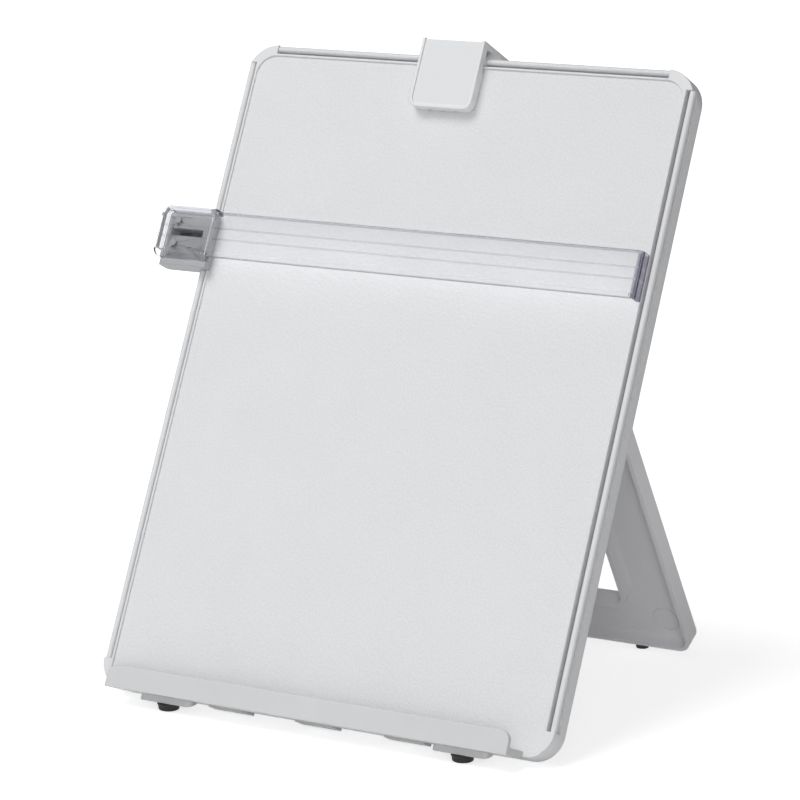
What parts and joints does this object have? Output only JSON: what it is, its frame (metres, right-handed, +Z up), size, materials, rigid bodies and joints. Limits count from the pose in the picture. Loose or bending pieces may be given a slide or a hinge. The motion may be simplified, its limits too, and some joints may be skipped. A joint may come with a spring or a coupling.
{
  "type": "copy holder",
  "caption": "Desk copy holder: a leaning board on a folding easel leg, with a ledge, a sprung clip on the top rail and a clear line guide that slides up and down a side rail.",
  "frame": {"origin": "on the desk, under the middle of the standing holder's outer box", "axes": "+X to the reader's right along the board, +Y away from the reader, +Z up"},
  "size_m": [0.252, 0.213, 0.29],
  "materials": {
    "board_plastic": "fine spark texture",
    "ledge_plastic": "satin moulded",
    "leg_plastic": "satin moulded",
    "clip_plastic": "satin moulded",
    "carriage_plastic": "satin moulded",
    "clear_plastic": "clear polished",
    "slider_plastic": "satin moulded",
    "foot_rubber": "matt",
    "spring_steel": "dark spring steel",
    "pin_steel": "drawn steel",
    "screw_steel": "plated steel",
    "pin_plastic": "moulded heads"
  },
  "bodies": {
    "board": {"back_board": "board_plastic", "paper_ledge": "ledge_plastic", "ledge_screws": "screw_steel", "front_foot_left": "foot_rubber", "front_foot_right": "foot_rubber"},
    "leg": {"easel_leg": "leg_plastic", "leg_pin_left": "pin_steel", "leg_pin_right": "pin_steel", "rear_foot_left": "foot_rubber", "rear_foot_right": "foot_rubber"},
    "clip_carrier": {"clip_carriage": "carriage_plastic", "clip_spring": "spring_steel"},
    "clip": {"clip_lever": "clip_plastic"},
    "line_guide": {"guide_bar": "clear_plastic", "slider_body": "slider_plastic", "slider_keeper": "slider_plastic", "slider_screws": "screw_steel", "slider_spring": "spring_steel", "guide_pins": "pin_plastic"}
  },
  "joints": [
    {"name": "leg_fold", "type": "hinge", "parent": "board", "child": "leg", "pos_m": [0.011, 0.00699, 0.17406], "axis": [1, 0, 0], "range_deg": [-55.38, 0]},
    {"name": "clip_slide", "type": "slide", "parent": "board", "child": "clip_carrier", "axis": [1, 0, 0], "range_m": [-0.077, 0.09]},
    {"name": "clip_open", "type": "hinge", "parent": "clip_carrier", "child": "clip", "pos_m": [0.0043, 0.04333, 0.28005], "axis": [1, 0, 0], "range_deg": [-14, 0], "stiffness_Nm_per_rad": 0.08, "springref_deg": 20.05, "deforming": ["clip_spring"]},
    {"name": "guide_slide", "type": "slide", "parent": "board", "child": "line_guide", "axis": [0, 0.4384, 0.8988], "range_m": [-0.182, 0.058]}
  ]
}
